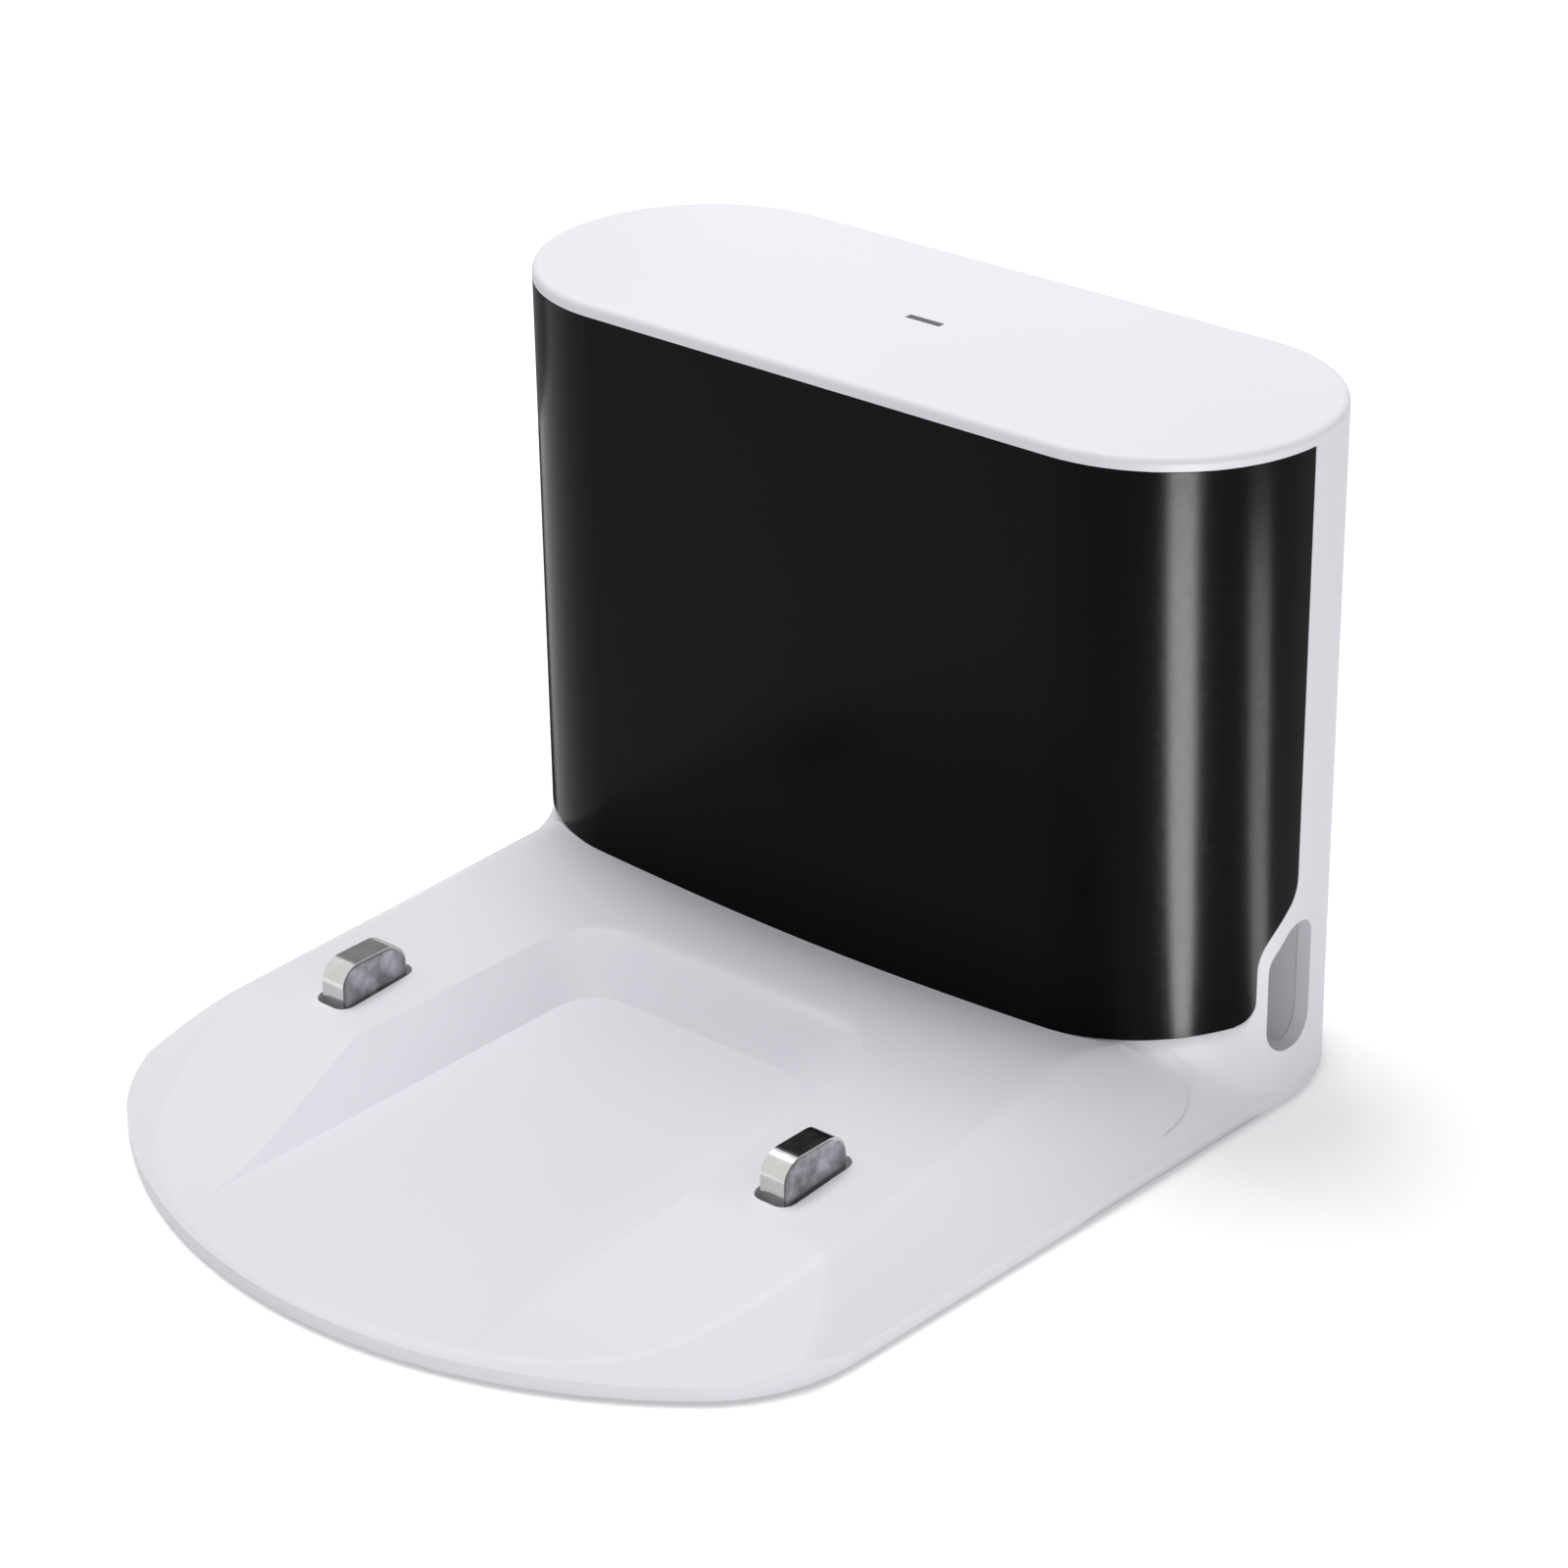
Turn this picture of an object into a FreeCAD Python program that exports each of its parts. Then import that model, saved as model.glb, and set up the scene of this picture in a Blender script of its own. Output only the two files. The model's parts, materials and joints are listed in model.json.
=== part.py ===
import FreeCAD, Part
import math
import os
from types import SimpleNamespace

import Sketcher

# Charging dock for a robot vacuum, in millimetres.
# The dock stands on its feet at z = 0, its front lip faces -Y, and the tower is at the back.

SIZES = {
    # whole dock
    "width": 130.0,
    "depth": 150.8,
    "tower_depth": 48.9,
    "tower_height": 98.0,
    "foot_drop": 0.6,
    "wall": 2.2,
    "lid_thickness": 2.2,
    "lid_round": 1.0,
    "fit_gap": 0.1,
    # deck in front of the tower
    "front_radius": 82.2,
    "corner_radius": 25.3,
    "side_taper": 4.4,
    "lip_height": 2.5,
    "deck_slope": 3.35,
    "ramp_start": 14.8,
    "ramp_end": 42.3,
    "step_height": 6.0,
    "ramp_crest_round": 10.0,
    "ramp_foot_round": 60.0,
    "flank_radius": 25.6,
    "flank_inset": 22.5,
    "rim_height": 2.0,
    "rim_bevel": 31.0,
    "crest_round": 3.0,
    "deck_wall": 2.0,
    "cavity_start": 36.0,
    # hollow where the deck meets the tower
    "dip_round": 45.0,
    "dip_ring": 205.0,
    "cove_radius": 9.0,
    "cove_rise": 2.0,
    "cove_roll": 60.0,
    # recess in the deck
    "recess_length": 78.3,
    "recess_half_front": 26.7,
    "recess_half_rear": 21.1,
    "recess_wall_angle": 38.3,
    "recess_corner_low": 12.5,
    "recess_corner_high": 26.0,
    # black front window
    "window_thickness": 2.0,
    "window_backing": 1.8,
    "window_band": 2.0,
    "window_bottom": 11.7,
    "window_sag_radius": 660.0,
    "window_corner": 3.0,
    "window_bend": 6.0,
    # cable outlets in the ends of the tower
    "outlet_front": 5.2,
    "outlet_rear": 4.2,
    "outlet_bottom": 8.1,
    "outlet_top": 27.0,
    "outlet_slant": 4.4,
    "outlet_corner": 3.2,
    "outlet_foot_corner": 4.2,
    "outlet_border": 2.0,
    # cable tray in the back, and the ducts from it to the outlets
    "tray_edge": 0.55,
    "tray_bottom": 5.0,
    "tray_top": 47.5,
    "tray_reach": 33.4,
    "tray_wall": 1.5,
    "tower_floor": 4.0,
    # bottom cover, its screws and the feet
    "cover_side": 15.0,
    "cover_start": 34.0,
    "cover_rear": 16.0,
    "cover_thickness": 2.0,
    "cover_ledge": 2.0,
    "cover_corner": 6.0,
    "cover_screw_edge": 3.5,
    "cover_screw_front": 4.0,
    "cover_screw_middle": 52.0,
    "cover_screw_rear": 4.0,
    "screw_radius": 1.3,
    "screw_head_radius": 2.5,
    "screw_head_height": 1.2,
    "screw_reach": 6.0,
    "boss_radius": 3.0,
    "boss_root": 1.0,
    "foot_radius": 4.0,
    "foot_sunk": 1.0,
    "foot_front_side": 25.0,
    "foot_front_back": 20.0,
    "foot_rear_side": 9.5,
    # charging contacts
    "contact_side": 24.55,
    "contact_back": 53.2,
    "contact_length": 11.4,
    "contact_rise": 4.8,
    "contact_shoulder": 3.0,
    "block_width": 4.6,
    "strip_width": 4.0,
    "strip_thickness": 0.4,
    "strip_foot": 0.5,
    "slot_width": 6.4,
    "slot_length": 14.4,
    "slot_corner": 2.0,
    "stop_gap": 0.2,
    "flange_width": 8.4,
    "flange_length": 16.2,
    "flange_height": 1.5,
    "holder_wall": 1.2,
    "holder_gap": 0.2,
    "terminal_width": 6.0,
    "terminal_tail": 5.0,
    "terminal_tail_width": 3.0,
    "spring_radius": 2.2,
    "spring_wire": 0.5,
    "spring_turns": 2.5,
    "lead_radius": 0.6,
    "lead_rise_gap": 3.4,
    "lead_over_tray": 13.5,
    # circuit boards
    "board_thickness": 1.6,
    "power_board_margin": 7.5,
    "power_board_gap": 4.5,
    "power_board_height": 32.0,
    "power_board_standoff": 4.6,
    "board_hole_edge": 4.0,
    "board_screw_reach": 3.6,
    "emitter_board_half_width": 36.0,
    "emitter_board_bottom": 48.0,
    "emitter_board_top": 64.0,
    "emitter_board_standoff": 3.6,
    "emitter_screw_reach": 3.0,
    "emitter_spacing": 26.0,
    "emitter_radius": 2.5,
    "emitter_base_radius": 2.9,
    "emitter_base_height": 1.0,
    "emitter_length": 5.2,
    "port_gap": 0.4,
    "cable_width": 6.0,
    "cable_thickness": 0.8,
    "cable_lap": 8.0,
    "emitter_cable_x": 28.0,
    # power parts
    "part_gap": 0.5,
    "transformer_width": 24.0,
    "transformer_height": 18.0,
    "transformer_depth": 20.0,
    "bulk_capacitor_radius": 6.3,
    "bulk_capacitor_length": 22.0,
    "output_capacitor_radius": 5.0,
    "output_capacitor_length": 16.0,
    "output_capacitor_x": 4.0,
    "output_capacitor_gap": 9.0,
    "choke_radius": 5.5,
    "choke_bore": 2.4,
    "choke_length": 9.0,
    "power_part_gap": 1.0,
    "fuse_radius": 2.6,
    "fuse_length": 8.0,
    "fuse_x": -36.2,
    "fuse_gap": 7.1,
    # mains inlet
    "inlet_x": -20.0,
    "inlet_back": 20.0,
    "inlet_body_length": 22.0,
    "inlet_body_width": 12.0,
    "inlet_body_height": 18.0,
    "inlet_flange": 1.5,
    "inlet_flange_height": 1.2,
    "inlet_cavity_length": 16.4,
    "inlet_cavity_width": 8.4,
    "inlet_cavity_depth": 13.0,
    "pin_radius": 1.2,
    "pin_spacing": 8.6,
    "pin_length": 9.0,
    "pin_tail": 3.0,
    # status light in the lid
    "light_length": 6.0,
    "light_width": 1.3,
    "pipe_flange": 2.5,
    "pipe_flange_height": 1.6,
    "status_board_length": 28.0,
    "status_board_width": 9.0,
    "status_board_drop": 3.8,
    "status_post_spacing": 21.0,
    "status_post_radius": 1.4,
    "status_led_size": 3.2,
    "status_led_height": 1.9,
}

document = FreeCAD.newDocument("charging_dock")
sheet = document.addObject("Spreadsheet::Sheet", "dims")
for row, (alias, number) in enumerate(SIZES.items(), start=1):
    sheet.set(f"A{row}", alias)
    sheet.set(f"B{row}", str(number))
    sheet.setAlias(f"B{row}", alias)
document.recompute()


class Length:
    """A size that keeps both its number and the sheet expression it comes from."""

    def __init__(self, text, number):
        self.text = text
        self.number = number

    def joined(self, sign, other, number):
        return Length(f"({self.text} {sign} {lift(other).text})", number)

    def __add__(self, other):
        return self.joined("+", other, self.number + lift(other).number)

    def __sub__(self, other):
        return self.joined("-", other, self.number - lift(other).number)

    def __mul__(self, other):
        return self.joined("*", other, self.number * lift(other).number)

    def __truediv__(self, other):
        return self.joined("/", other, self.number / lift(other).number)

    def __neg__(self):
        return Length(f"(0 - {self.text})", -self.number)

    def __radd__(self, other):
        return lift(other) + self

    def __rsub__(self, other):
        return lift(other) - self

    def __rmul__(self, other):
        return lift(other) * self


def lift(entry):
    return entry if isinstance(entry, Length) else Length(f"({entry})", float(entry))


def root(entry):
    return Length(f"sqrt({entry.text})", math.sqrt(entry.number))


def tangent(angle):
    return Length(f"tan({angle.text} * 1 deg)", math.tan(math.radians(angle.number)))


def sine(angle):
    return Length(f"sin({angle.text} * 1 deg)", math.sin(math.radians(angle.number)))


def cosine(angle):
    return Length(f"cos({angle.text} * 1 deg)", math.cos(math.radians(angle.number)))


dim = SimpleNamespace(**{alias: Length(f"dims.{alias}", number) for alias, number in SIZES.items()})

# Places worked out from the sizes

BASE = dim.foot_drop
TOP = dim.foot_drop + dim.tower_height
FRONT = -dim.depth / 2
BACK = dim.depth / 2
TOWER_Y = (dim.depth - dim.tower_depth) / 2
TOWER_FRONT = dim.depth / 2 - dim.tower_depth
END_X = (dim.width - dim.tower_depth) / 2
LEAN = math.degrees(math.atan2(dim.side_taper.number, (TOWER_Y - FRONT).number))
SIDES = (("left", -1), ("right", 1))
NONE = lift(0)
REACH = 2.0
TOUCH = 0.01


def floor_height(distance):
    """Height of the deck's floor plane at a distance behind the front lip."""
    return BASE + dim.lip_height + tangent(dim.deck_slope) * distance


def plateau_height(distance):
    """Height of the raised part of the deck at a distance behind the front lip."""
    return floor_height(distance) + dim.step_height


# Small builders

def bind(item, **places):
    """Bind properties to sizes; x, y and z are the item's position."""
    for key, entry in places.items():
        path = f"Placement.Base.{key}" if key in ("x", "y", "z") else key
        item.setExpression(path, lift(entry).text)
    return item


def box(name, sizes, x, y, z):
    """Box centred on x, with its lowest y and z given."""
    item = document.addObject("Part::Box", name)
    length, width, height = sizes
    return bind(item, Length=length, Width=width, Height=height, x=x - lift(length) / 2, y=y, z=z)


TURNS = {
    "up": FreeCAD.Rotation(),
    "back": FreeCAD.Rotation(FreeCAD.Vector(1, 0, 0), -90),
    "front": FreeCAD.Rotation(FreeCAD.Vector(1, 0, 0), 90),
    "right": FreeCAD.Rotation(FreeCAD.Vector(0, 1, 0), 90),
}


def turned(kind, name, towards):
    """New primitive whose axis points up, back, to the front or to the right."""
    item = document.addObject(kind, name)
    item.Placement = FreeCAD.Placement(FreeCAD.Vector(), TURNS[towards])
    return item


def cylinder(name, radius, length, x, y, z, towards="up"):
    item = turned("Part::Cylinder", name, towards)
    return bind(item, Radius=radius, Height=length, x=x, y=y, z=z)


def torus(name, ring_radius, bar_radius, x, y, z, towards="up"):
    item = turned("Part::Torus", name, towards)
    return bind(item, Radius1=ring_radius, Radius2=bar_radius, x=x, y=y, z=z)


def fuse(name, *items):
    item = document.addObject("Part::MultiFuse", name)
    item.Shapes = list(items)
    item.Refine = True
    return item


def common(name, *items):
    item = document.addObject("Part::MultiCommon", name)
    item.Shapes = list(items)
    return item


def cut(name, base, *tools):
    item = document.addObject("Part::Cut", name)
    item.Base = base
    item.Tool = tools[0] if len(tools) == 1 else fuse(name + "_tools", *tools)
    return item


def rounded(name, base, radius, chosen, end_radius=None):
    """Round the edges of base that the test picks, with a radius that may grow along the edge."""
    document.recompute()
    item = document.addObject("Part::Fillet", name)
    item.Base = base
    last_radius = radius if end_radius is None else end_radius
    picked = [number for number, edge in enumerate(base.Shape.Edges, start=1) if chosen(edge)]
    item.Edges = [(number, radius.number, last_radius.number) for number in picked]
    return item


def is_upright(edge):
    return abs(edge.tangentAt(edge.FirstParameter).z) > 1 - TOUCH


def at_height(height):
    """Test for edges that lie flat at one height."""
    def test(edge):
        extent = edge.BoundBox
        return abs(extent.ZMin - height.number) < TOUCH and abs(extent.ZMax - height.number) < TOUCH
    return test


def prism(name, plane, points, length, taper=None):
    """Pad a closed outline of straight lines, both ways from an origin plane, or one way with a taper."""
    body = document.addObject("PartDesign::Body", name)
    sketch = body.newObject("Sketcher::SketchObject", name + "_sketch")
    support = next(item for item in body.Origin.OriginFeatures if item.Role == plane + "_Plane")
    sketch.AttachmentSupport = (support, [""])
    sketch.MapMode = "FlatFace"
    corners = [FreeCAD.Vector(lift(u).number, lift(v).number, 0) for u, v in points]
    for index, start in enumerate(corners):
        sketch.addGeometry(Part.LineSegment(start, corners[(index + 1) % len(corners)]), False)
    for index in range(len(corners)):
        sketch.addConstraint(Sketcher.Constraint("Coincident", index, 2, (index + 1) % len(corners), 1))
    for index, corner in enumerate(points):
        for kind, entry in zip(("DistanceX", "DistanceY"), corner):
            place = sketch.addConstraint(Sketcher.Constraint(kind, -1, 1, index, 1, lift(entry).number))
            sketch.setExpression(f"Constraints[{place}]", lift(entry).text)
    pad = body.newObject("PartDesign::Pad", name + "_pad")
    pad.Profile = sketch
    bind(pad, Length=length)
    if taper is None:
        pad.Midplane = True
    else:
        bind(pad, TaperAngle=taper)
    body.Tip = pad
    return body


def stadium(name, inset, bottom, top):
    """Upright bar with half-round ends: the tower's outline moved in by inset."""
    radius = dim.tower_depth / 2 - inset
    middle = box(name + "_middle", (END_X * 2, radius * 2, top - bottom), 0, TOWER_Y - radius, bottom)
    ends = [cylinder(f"{name}_end_{side}", radius, top - bottom, sign * END_X, TOWER_Y, bottom)
            for side, sign in SIDES]
    return fuse(name, middle, *ends)


# Outer form of the housing: tower and deck

def tower_form():
    plain = stadium("tower_plain", 0, BASE, TOP)
    return rounded("tower_form", plain, dim.lid_round, at_height(TOP))


def deck_plan():
    """Upright block with the deck's outline: sides that close in towards a curved front."""
    front_half = dim.width / 2 - dim.side_taper
    back_half = dim.width / 2
    corners = [(-front_half, FRONT), (front_half, FRONT), (back_half, TOWER_Y), (-back_half, TOWER_Y)]
    wedge = prism("deck_sides", "XY", corners, TOP * 2)
    round_front = cylinder("deck_front", dim.front_radius, TOP * 2, 0, FRONT + dim.front_radius, -TOP)
    joined = common("deck_plan_sharp", wedge, round_front)

    def at_corner(edge):
        middle = edge.CenterOfMass
        return is_upright(edge) and abs(middle.x) > END_X.number and middle.y < TOWER_FRONT.number
    return rounded("deck_plan", joined, dim.corner_radius, at_corner)


def deck_profile():
    """Side view of the deck: lip, floor plane, ramp and raised part."""
    ramp_foot = floor_height(dim.ramp_start)
    ramp_top = plateau_height(dim.ramp_end)
    profile = prism("deck_profile_sharp", "YZ", [
        (FRONT, BASE),
        (TOWER_Y, BASE),
        (TOWER_Y, plateau_height(TOWER_Y - FRONT)),
        (FRONT + dim.ramp_end, ramp_top),
        (FRONT + dim.ramp_start, ramp_foot),
        (FRONT, floor_height(0)),
    ], dim.width)

    def at_line(distance, height):
        def test(edge):
            middle = edge.CenterOfMass
            across = edge.BoundBox.XLength > END_X.number
            in_place = abs(middle.y - (FRONT + distance).number) < TOUCH
            return across and in_place and abs(middle.z - height.number) < TOUCH
        return test
    crest = rounded("deck_crest", profile, dim.ramp_crest_round, at_line(dim.ramp_end, ramp_top))
    return rounded("deck_profile", crest, dim.ramp_foot_round, at_line(dim.ramp_start, ramp_foot))


def roll_axis(radius):
    """Place of the axis of a lengthwise roll that leaves the rim as steeply as the flank does."""
    inset = dim.flank_inset * radius / dim.flank_radius
    axis_x = dim.width / 2 - dim.side_taper - inset
    return axis_x, BASE + dim.rim_height - root(radius * radius - inset * inset)


def flank_roll(name, radius, sign):
    axis_x, axis_z = roll_axis(radius)
    roll = cylinder(name, radius, dim.depth, sign * axis_x, FRONT, axis_z, "back")
    swing = FreeCAD.Rotation(FreeCAD.Vector(0, 0, 1), -sign * LEAN)
    roll.Placement.Rotation = swing.multiply(TURNS["back"])
    return roll


def deck_flanks():
    """Space under the round flanks that fall from the raised part to the rim."""
    axis_x = roll_axis(dim.flank_radius)[0]
    middle = box("flank_middle", (axis_x * 2, dim.depth, TOP), 0, FRONT, -REACH)
    rolls = [flank_roll(f"flank_{side}", dim.flank_radius, sign) for side, sign in SIDES]
    return fuse("deck_flanks", middle, *rolls)


def on_crest(edge):
    """Test for the edges where the flanks and the front bevel meet the top of the deck."""
    middle = edge.CenterOfMass
    beside_recess = abs(middle.x) > dim.recess_half_front.number and middle.y < TOWER_FRONT.number
    above_rim = middle.z > (BASE + dim.rim_height * 3 / 2).number
    return beside_recess and above_rim and edge.Length > dim.crest_round.number


def deck_bevel():
    """Space under a wide cone that keeps the rim low round the front corners."""
    cone = document.addObject("Part::Cone", "deck_bevel_cone")
    height = dim.step_height * 4
    middle_y = FRONT + dim.front_radius
    bind(cone, Radius1=dim.front_radius, Radius2=dim.front_radius - height / tangent(dim.rim_bevel),
         Height=height, x=0, y=middle_y, z=BASE + dim.rim_height)
    rim = cylinder("deck_bevel_rim", dim.front_radius, dim.rim_height, 0, middle_y, BASE)
    return fuse("deck_bevel", cone, rim)


def recess_form():
    """Shallow bay in the deck, with sloping walls that widen upwards and a floor in line with the lip."""
    ahead = dim.ramp_start
    rear_half = dim.recess_half_rear
    flare = (dim.recess_half_front - rear_half) / dim.recess_length
    front_half = dim.recess_half_front + flare * ahead
    outline = [(-front_half, -ahead), (front_half, -ahead), (rear_half, dim.recess_length),
               (-rear_half, dim.recess_length)]
    bay = prism("recess_sharp", "XY", outline, dim.step_height * 3 / 2, 90 - dim.recess_wall_angle)
    slope = FreeCAD.Rotation(FreeCAD.Vector(1, 0, 0), dim.deck_slope.number)
    bay.Placement = FreeCAD.Placement(FreeCAD.Vector(), slope)
    bind(bay, y=FRONT, z=floor_height(0))

    def at_rear_corner(edge):
        return edge.BoundBox.ZLength > dim.step_height.number and edge.CenterOfMass.y > FRONT.number / 2
    return rounded("recess_form", bay, dim.recess_corner_low, at_rear_corner, dim.recess_corner_high)


def dip_form():
    """Space above the roll that leads from the raised part down to the window's lower edge."""
    bend = dim.dip_round
    ring_radius = dim.dip_ring
    slope = dim.deck_slope
    drop = (plateau_height(dim.depth - dim.tower_depth) - BASE - dim.window_bottom) * cosine(slope)
    run = root(bend * drop * 2 - drop * drop)
    start = TOWER_FRONT - run * cosine(slope) - drop * sine(slope)
    middle_y = start + ring_radius * cosine(slope) + bend * sine(slope)
    middle_z = plateau_height(start - FRONT) + ring_radius * sine(slope) - bend * cosine(slope) + TOUCH
    space = cylinder("dip_space", ring_radius, bend + dim.step_height, 0, middle_y, middle_z)
    ring = torus("dip_roll", ring_radius, bend, 0, middle_y, middle_z)
    for item in (space, ring):
        item.Placement.Rotation = FreeCAD.Rotation(FreeCAD.Vector(1, 0, 0), slope.number)
    return cut("dip_form", space, ring)


def end_cove(side, sign, plan):
    """Hollow corner between a flank and the round end of the tower."""
    outside = dim.tower_depth / 2 + dim.cove_radius
    height = dim.window_bottom + dim.cove_rise
    post = cylinder(f"cove_post_{side}", outside, height, sign * END_X, TOWER_Y, BASE)
    ring = torus(f"cove_ring_{side}", outside, dim.cove_radius, sign * END_X, TOWER_Y, BASE + height)
    roll = flank_roll(f"cove_roll_{side}", dim.cove_roll, sign)
    return common(f"end_cove_{side}", cut(f"cove_hollow_{side}", post, ring), plan, roll)


def outlet_form(name, length):
    """Outline of a cable outlet, drawn from end to end of the tower."""
    front = TOWER_Y - dim.outlet_front
    rear = TOWER_Y + dim.outlet_rear
    bottom = BASE + dim.outlet_bottom
    top = BASE + dim.outlet_top
    slant = dim.outlet_slant
    outline = [(front, bottom), (rear, bottom), (rear, top), (front + slant, top), (front, top - slant)]
    hole = prism(name + "_sharp", "YZ", outline, length)

    def lengthwise(low):
        def test(edge):
            below = edge.CenterOfMass.z < (bottom + top).number / 2
            return below == low and edge.BoundBox.XLength > END_X.number
        return test
    foot = rounded(name + "_foot", hole, dim.outlet_foot_corner, lengthwise(low=True))
    return rounded(name, foot, dim.outlet_corner, lengthwise(low=False))


# Black front window, and the seat for it

def window_form(name, gap):
    """Front half of the tower's skin, with a curved lower edge and room round the cable outlets."""
    outside = stadium(name + "_outside", -gap, BASE, TOP)
    inside = stadium(name + "_inside", dim.window_thickness + gap, 0, TOP + REACH)
    skin = cut(name + "_skin", outside, inside)
    bottom = BASE + dim.window_bottom - gap
    top = TOP - dim.window_band + gap
    across = dim.width + 2 * REACH
    start = TOWER_FRONT - REACH
    border = dim.outlet_border - gap
    edge_y = TOWER_Y - dim.outlet_front - border
    rear_y = TOWER_Y + gap
    shoulder = BASE + dim.outlet_top + border - dim.outlet_slant
    outline = [(start, 0), (edge_y, 0), (edge_y, shoulder), (rear_y, shoulder + rear_y - edge_y),
               (rear_y, top), (start, top)]

    def at_bend(edge):
        between = TOUCH < edge.CenterOfMass.z < top.number - TOUCH
        return between and edge.BoundBox.XLength > END_X.number
    side_view = rounded(name + "_side", prism(name + "_side_sharp", "YZ", outline, across),
                        dim.window_bend, at_bend)
    sag = cylinder(name + "_sag", dim.window_sag_radius, dim.tower_depth, 0, start,
                   bottom + dim.window_sag_radius, "back")
    plain = common(name + "_sheet", skin, side_view, sag)
    return cut(name, plain, window_foot(name, across, edge_y, bottom))


def window_foot(name, across, edge_y, bottom):
    """Space outside the round lower corners of the window."""
    radius = dim.window_corner
    end_radius = dim.tower_depth / 2
    sag = dim.window_sag_radius
    ahead = TOWER_Y - edge_y
    end_x = END_X + root(end_radius * end_radius - ahead * ahead)
    foot = bottom + sag - root(sag * sag - end_x * end_x)
    block = box(name + "_foot_block", (across, radius + REACH, radius + REACH), 0, edge_y - radius,
                foot - REACH)
    bar = cylinder(name + "_foot_bar", radius, across, -across / 2, edge_y - radius, foot + radius, "right")
    return cut(name + "_foot", block, bar)


# Places of the inner pieces

INNER_FRONT = TOWER_FRONT + dim.window_thickness + dim.window_backing
INNER_BACK = BACK - dim.wall
INNER_TOP = TOP - dim.lid_thickness
COVER_TOP = BASE + dim.cover_thickness
COVER_HALF = dim.width / 2 - dim.cover_side
CONTACT_X = dim.width / 2 - dim.contact_side
CONTACT_Y = FRONT + dim.contact_back
POCKET_TOP = plateau_height(dim.contact_back - dim.slot_length / 2) - dim.deck_wall
HOLDER_WIDTH = dim.flange_width + 2 * (dim.holder_gap + dim.holder_wall)
HOLDER_LENGTH = dim.flange_length + 2 * (dim.holder_gap + dim.holder_wall)
HOLDER_FLOOR = COVER_TOP + dim.fit_gap + dim.holder_wall
TERMINAL_TOP = HOLDER_FLOOR + dim.strip_thickness
FLANGE_TOP = POCKET_TOP - dim.stop_gap
FLANGE_BOTTOM = FLANGE_TOP - dim.flange_height
TRAY_HALF = END_X - dim.tray_edge
TRAY_FRONT = BACK - dim.tray_reach
TRAY_TOP = BASE + dim.tray_top
TRAY_ROOF = TRAY_TOP - dim.tray_wall
INLET_Y = BACK - dim.inlet_back
INLET_BOTTOM = TRAY_ROOF - dim.inlet_flange_height
INLET_TOP = TRAY_ROOF + dim.inlet_body_height
PIN_TOP = INLET_TOP + dim.pin_tail
EMITTER_BOARD_FACE = INNER_FRONT + dim.emitter_board_standoff
EMITTER_BOARD_BACK = EMITTER_BOARD_FACE + dim.board_thickness
EMITTER_Z = BASE + (dim.emitter_board_bottom + dim.emitter_board_top) / 2
STATUS_BOARD_TOP = INNER_TOP - dim.status_board_drop
STATUS_BOARD_BOTTOM = STATUS_BOARD_TOP - dim.board_thickness
POWER_BOARD_BACK = INNER_BACK - dim.power_board_standoff
POWER_BOARD_FACE = POWER_BOARD_BACK - dim.board_thickness
POWER_BOARD_BOTTOM = TRAY_TOP + dim.power_board_gap
POWER_BOARD_TOP = POWER_BOARD_BOTTOM + dim.power_board_height

# The power parts stand in a row on both sides of the status board, above the inlet
PART_START = dim.status_board_length / 2 + dim.part_gap
PART_Z = INLET_TOP + dim.power_part_gap + dim.transformer_height / 2
TRANSFORMER_X = PART_START + dim.transformer_width / 2
BULK_X = -PART_START - dim.bulk_capacitor_radius
CHOKE_X = BULK_X - dim.bulk_capacitor_radius - dim.part_gap - dim.choke_radius
POWER_BOARD_HALF = PART_START + dim.transformer_width + dim.power_board_margin

COVER_SCREW_ROWS = (
    FRONT + dim.cover_start + dim.cover_screw_front,
    FRONT + dim.cover_start + dim.cover_screw_middle,
    TOWER_Y + dim.cover_rear - dim.cover_screw_rear,
)
COVER_SCREWS = [(sign * (COVER_HALF - dim.cover_screw_edge), y)
                for y in COVER_SCREW_ROWS for _, sign in SIDES]
POWER_SCREW_ROWS = (POWER_BOARD_BOTTOM + dim.board_hole_edge, POWER_BOARD_TOP - dim.board_hole_edge)
POWER_BOARD_SCREWS = [(sign * (POWER_BOARD_HALF - dim.board_hole_edge), z)
                      for z in POWER_SCREW_ROWS for _, sign in SIDES]
EMITTER_BOARD_SCREWS = [(sign * dim.emitter_spacing / 2, EMITTER_Z) for _, sign in SIDES]
EMITTERS = (("left", -1), ("middle", 0), ("right", 1))
FEET = []
for side, sign in SIDES:
    FEET.append((f"front_{side}", sign * (dim.width / 2 - dim.foot_front_side), FRONT + dim.foot_front_back))
    FEET.append((f"rear_{side}", sign * (dim.width / 2 - dim.foot_rear_side), TOWER_Y))


# Bottom cover

def cover_form(name, grow, top):
    start = FRONT + dim.cover_start - grow
    length = TOWER_Y + dim.cover_rear + grow - start
    plate = box(name + "_sharp", (COVER_HALF * 2 + 2 * grow, length, top - BASE), 0, start, BASE)
    return rounded(name, plate, dim.cover_corner, is_upright)


def bottom_cover():
    plate = cover_form("cover_plate", NONE, COVER_TOP)
    holes = []
    for number, (x, y) in enumerate(COVER_SCREWS):
        hole_radius = dim.screw_radius + dim.fit_gap
        sink_radius = dim.screw_head_radius + dim.fit_gap
        holes.append(cylinder(f"cover_hole_{number}", hole_radius, dim.cover_thickness, x, y, BASE))
        holes.append(cylinder(f"cover_sink_{number}", sink_radius, dim.screw_head_height, x, y, BASE))
    return cut("bottom_cover", plate, *holes)


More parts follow.
